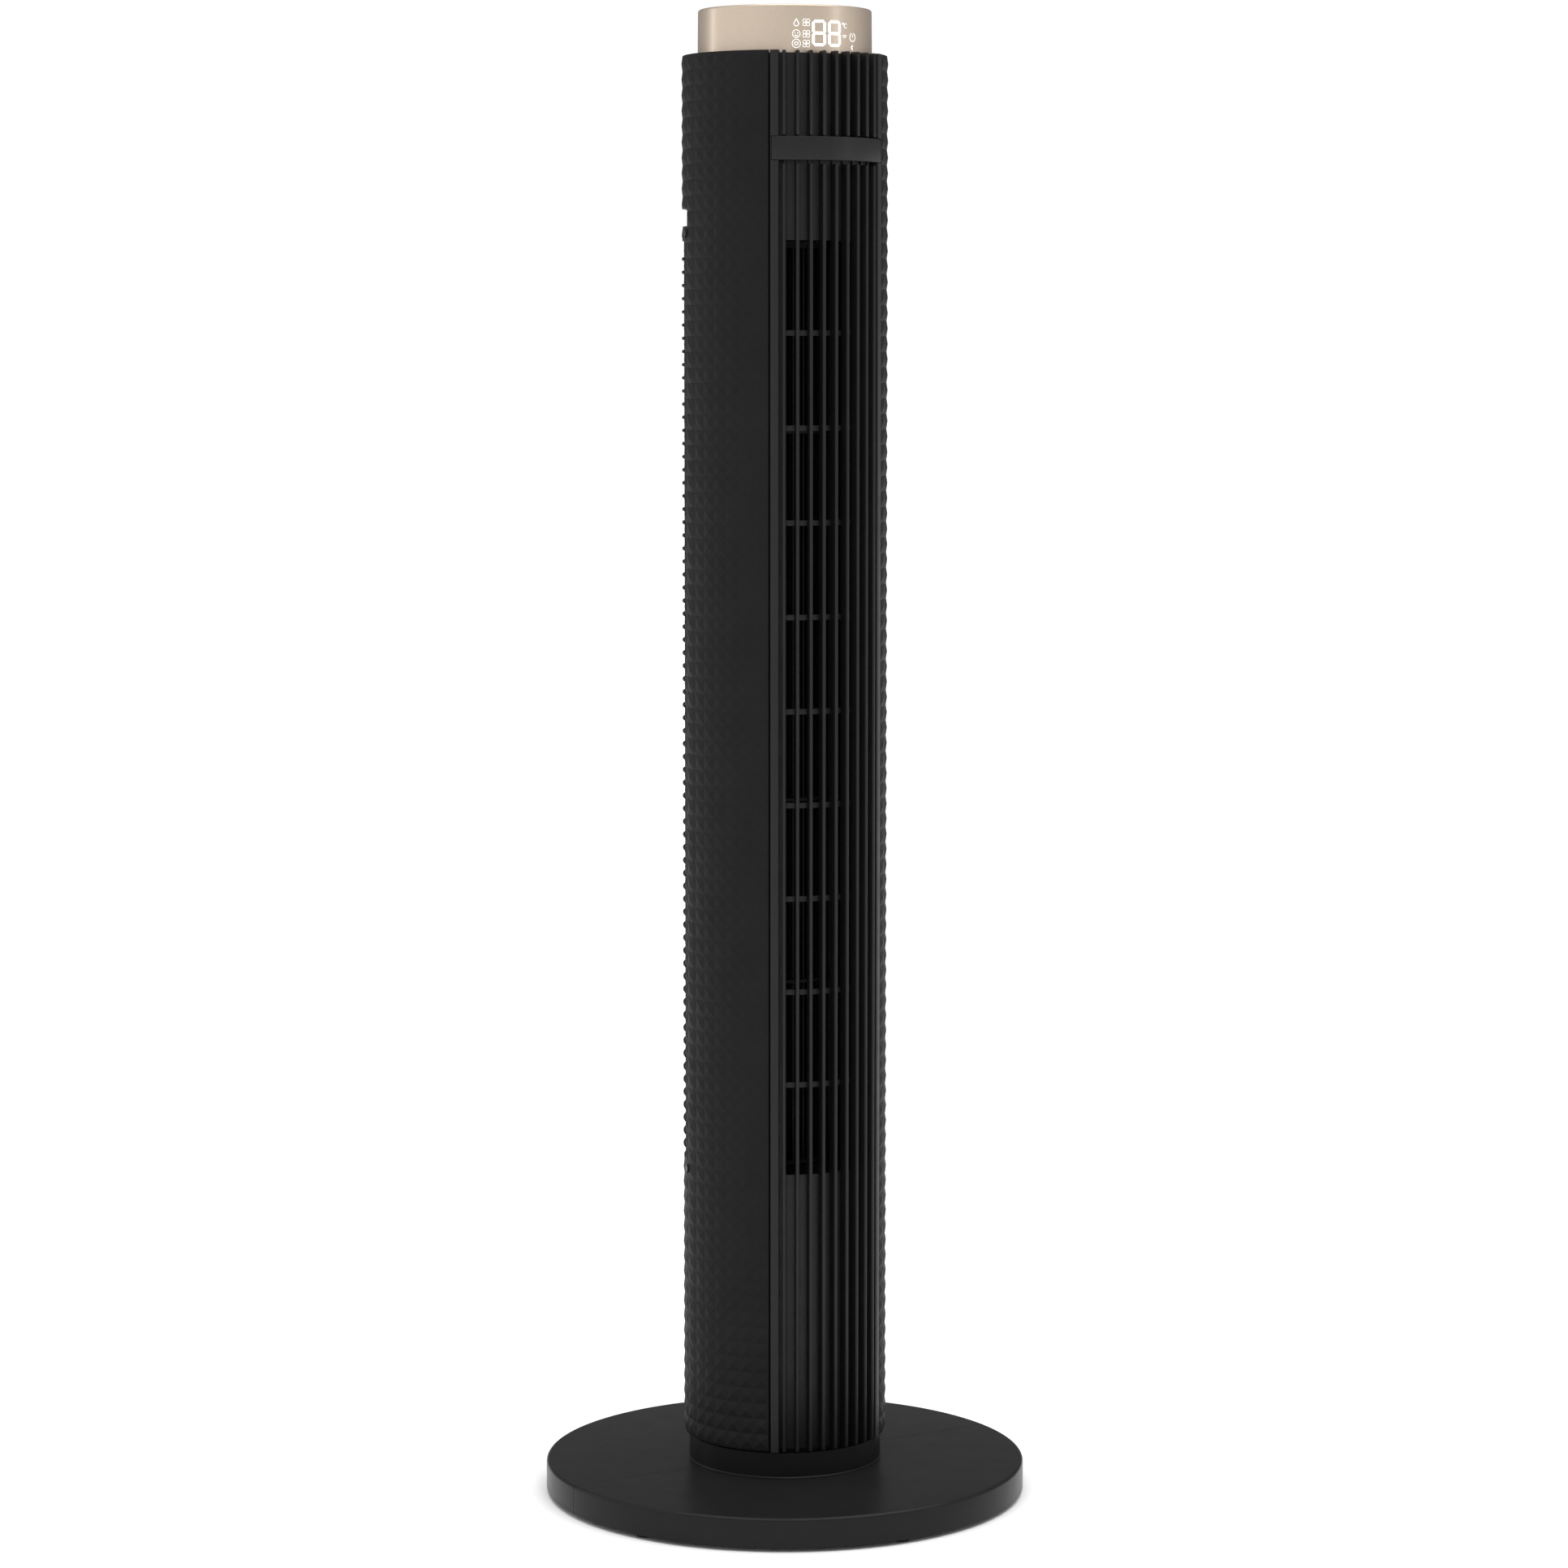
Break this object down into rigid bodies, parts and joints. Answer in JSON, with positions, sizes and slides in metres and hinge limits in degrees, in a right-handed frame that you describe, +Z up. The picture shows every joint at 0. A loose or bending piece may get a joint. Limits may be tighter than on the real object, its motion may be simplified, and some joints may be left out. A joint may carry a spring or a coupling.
{
  "type": "tower fan",
  "caption": "Oscillating tower fan: round flat base, slim finned black tower with studded sides and ribbed rear intake, gold cap with a lit display on its side and keys on top.",
  "frame": {"origin": "centre of the base's underside, on the floor, on the tower's axis", "axes": "+Z up along the tower; -Y is the front, where the air comes out; +X is the fan's own left-hand side seen from behind, to the right of someone facing the grille"},
  "size_m": [0.347, 0.3472, 1.067],
  "materials": {
    "base_plastic": "satin",
    "neck_plastic": "satin",
    "grille_plastic": "satin",
    "panel_plastic": "matte, moulded studs",
    "housing_plastic": "matte",
    "inner_plastic": "matte",
    "impeller_plastic": "matte",
    "gold_finish": "satin metallic champagne paint",
    "panel_gloss": "gloss",
    "key_plastic": "satin",
    "rubber": "matte",
    "silicone": "matte translucent",
    "steel": "brushed",
    "dark_steel": "black zinc",
    "iron": "laminated",
    "bronze": "sintered",
    "acetal": "waxy",
    "board": "solder mask",
    "clear": "clear"
  },
  "bodies": {
    "base": {"base_front_half": "base_plastic", "base_rear_half": "base_plastic", "base_weight_front": "steel", "base_weight_rear": "steel", "base_feet": "rubber", "base_screws": "steel", "cord_inlet": "rubber", "neck_collar": "neck_plastic", "fixed_gear": "acetal", "gear_screws": "steel", "pivot_post": "acetal", "glide_ring": "inner_plastic", "retaining_washer": "steel", "retaining_clip": "steel"},
    "tower": {"turntable": "inner_plastic", "oscillation_motor": "steel", "oscillation_motor_screws": "steel", "power_board": "board", "front_grille": "grille_plastic", "front_band": "grille_plastic", "side_panel_left": "panel_plastic", "side_panel_right": "panel_plastic", "rear_housing": "housing_plastic", "rear_grille": "housing_plastic", "housing_screws": "dark_steel", "handle_pocket": "housing_plastic", "lower_bulkhead": "inner_plastic", "upper_bulkhead": "inner_plastic", "duct_scroll": "inner_plastic", "duct_tongue": "inner_plastic", "motor_housing": "steel", "motor_stator": "iron", "motor_plate": "steel", "motor_dampers": "rubber", "motor_screws": "steel", "top_bearing_rubber": "rubber", "top_bearing_bush": "bronze", "top_deck": "inner_plastic", "top_cap": "gold_finish", "control_panel": "panel_gloss", "key_mat": "silicone", "control_board": "board", "board_screws": "steel", "display_board": "board", "light_guide": "clear"},
    "impeller": {"impeller_section_1": "impeller_plastic", "impeller_section_2": "impeller_plastic", "impeller_section_3": "impeller_plastic", "impeller_section_4": "impeller_plastic", "impeller_section_5": "impeller_plastic", "impeller_drive_disc": "impeller_plastic", "impeller_end_disc": "impeller_plastic", "impeller_stub_shaft": "steel", "motor_rotor": "iron"},
    "swing_pinion": {"oscillation_pinion": "acetal"},
    "timer_key": {"timer_key": "key_plastic"},
    "mode_key": {"mode_key": "key_plastic"},
    "power_key": {"power_key": "key_plastic"},
    "speed_key": {"speed_key": "key_plastic"},
    "swing_key": {"swing_key": "key_plastic"}
  },
  "joints": [
    {"name": "oscillation", "type": "hinge", "parent": "base", "child": "tower", "pos_m": [0, 0, 0.0432], "axis": [0, 0, 1], "range_deg": [-40, 40]},
    {"name": "impeller_spin", "type": "hinge", "parent": "tower", "child": "impeller", "pos_m": [0, 0.012, 0.246], "axis": [0, 0, 1], "continuous": true},
    {"name": "pinion_spin", "type": "hinge", "parent": "tower", "child": "swing_pinion", "pos_m": [0, 0.0405, 0.0322], "axis": [0, 0, 1], "range_deg": [-116, 116]},
    {"name": "timer_key_press", "type": "slide", "parent": "tower", "child": "timer_key", "axis": [0, 0, -1], "range_m": [0, 0.0007], "stiffness_N_per_m": 2200, "springref_m": -0.0003},
    {"name": "mode_key_press", "type": "slide", "parent": "tower", "child": "mode_key", "axis": [0, 0, -1], "range_m": [0, 0.0007], "stiffness_N_per_m": 2200, "springref_m": -0.0003},
    {"name": "power_key_press", "type": "slide", "parent": "tower", "child": "power_key", "axis": [0, 0, -1], "range_m": [0, 0.0007], "stiffness_N_per_m": 2200, "springref_m": -0.0003},
    {"name": "speed_key_press", "type": "slide", "parent": "tower", "child": "speed_key", "axis": [0, 0, -1], "range_m": [0, 0.0007], "stiffness_N_per_m": 2200, "springref_m": -0.0003},
    {"name": "swing_key_press", "type": "slide", "parent": "tower", "child": "swing_key", "axis": [0, 0, -1], "range_m": [0, 0.0007], "stiffness_N_per_m": 2200, "springref_m": -0.0003}
  ],
  "couplings": [
    {"joint": "pinion_spin", "follows": "oscillation", "ratio": 2.8571}
  ]
}
